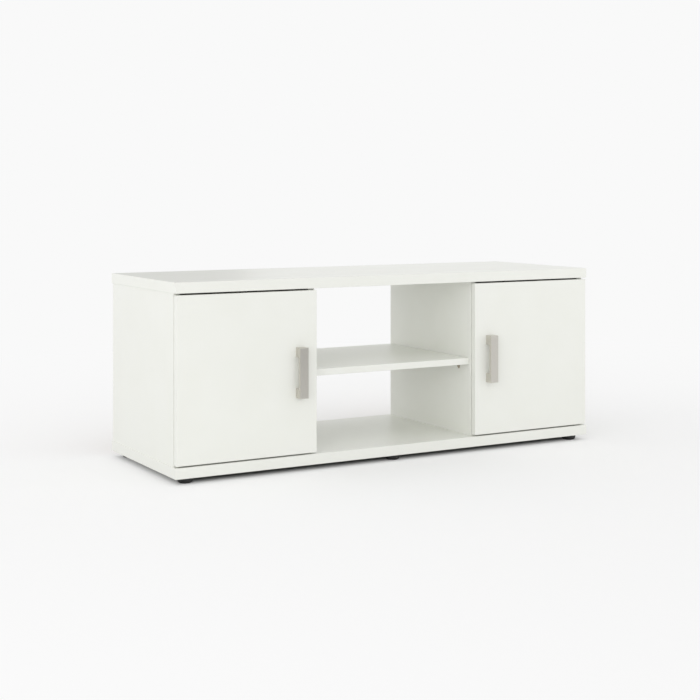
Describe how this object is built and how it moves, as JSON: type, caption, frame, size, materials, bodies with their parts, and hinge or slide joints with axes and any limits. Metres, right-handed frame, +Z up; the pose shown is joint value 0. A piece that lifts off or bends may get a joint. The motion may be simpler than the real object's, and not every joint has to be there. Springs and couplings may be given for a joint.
{
  "type": "tv cabinet",
  "caption": "Low white TV cabinet with a hinged-door cupboard at each end, an open centre bay with a shelf, square bow handles and low glides.",
  "frame": {"origin": "on the floor, midway along the width and midway between the handles' fronts and the back edges", "axes": "+X to the right seen from the front, +Y to the back, +Z up"},
  "size_m": [1.17, 0.429, 0.454],
  "materials": {
    "white_melamine": "satin white melamine on chipboard",
    "white_hardboard": "white lacquered hardboard",
    "satin_nickel": "satin nickel on zinc die casting",
    "nickel_plated_steel": "bright nickel plate on steel",
    "zinc": "plain zinc die casting",
    "dark_steel": "dark nickel-plated steel",
    "black_plastic": "moulded, fine matt",
    "clear_polymer": "clear soft polymer",
    "beech": "plain beech"
  },
  "bodies": {
    "carcass": {"top_panel": "white_melamine", "bottom_panel": "white_melamine", "centre_shelf": "white_melamine", "centre_shelf_supports": "dark_steel", "cam_locks": "zinc", "cam_bolts": "nickel_plated_steel", "wood_dowels": "beech", "base_screws": "nickel_plated_steel", "left_side_panel": "white_melamine", "left_partition": "white_melamine", "left_back_panel": "white_hardboard", "left_inner_shelf": "white_melamine", "left_inner_shelf_supports": "dark_steel", "left_hinge_arms": "nickel_plated_steel", "left_hinge_plates": "nickel_plated_steel", "left_hinge_plate_screws": "nickel_plated_steel", "left_hinge_arm_screws": "nickel_plated_steel", "right_side_panel": "white_melamine", "right_partition": "white_melamine", "right_back_panel": "white_hardboard", "right_inner_shelf": "white_melamine", "right_inner_shelf_supports": "dark_steel", "right_hinge_arms": "nickel_plated_steel", "right_hinge_plates": "nickel_plated_steel", "right_hinge_plate_screws": "nickel_plated_steel", "right_hinge_arm_screws": "nickel_plated_steel", "front_feet": "black_plastic", "rear_feet": "black_plastic"},
    "left_leaf": {"left_door": "white_melamine", "left_handle": "satin_nickel", "left_handle_screws": "nickel_plated_steel", "left_door_bumpers": "clear_polymer", "left_hinge_cups": "nickel_plated_steel", "left_hinge_pins": "nickel_plated_steel", "left_hinge_cup_screws": "nickel_plated_steel"},
    "right_leaf": {"right_door": "white_melamine", "right_handle": "satin_nickel", "right_handle_screws": "nickel_plated_steel", "right_door_bumpers": "clear_polymer", "right_hinge_cups": "nickel_plated_steel", "right_hinge_pins": "nickel_plated_steel", "right_hinge_cup_screws": "nickel_plated_steel"}
  },
  "joints": [
    {"name": "left_door_hinge", "type": "hinge", "parent": "carcass", "child": "left_leaf", "pos_m": [-0.57644, -0.1857, 0.2337], "axis": [0, 0, -1], "range_deg": [0, 95]},
    {"name": "right_door_hinge", "type": "hinge", "parent": "carcass", "child": "right_leaf", "pos_m": [0.57644, -0.1857, 0.2337], "axis": [0, 0, 1], "range_deg": [0, 95]}
  ]
}
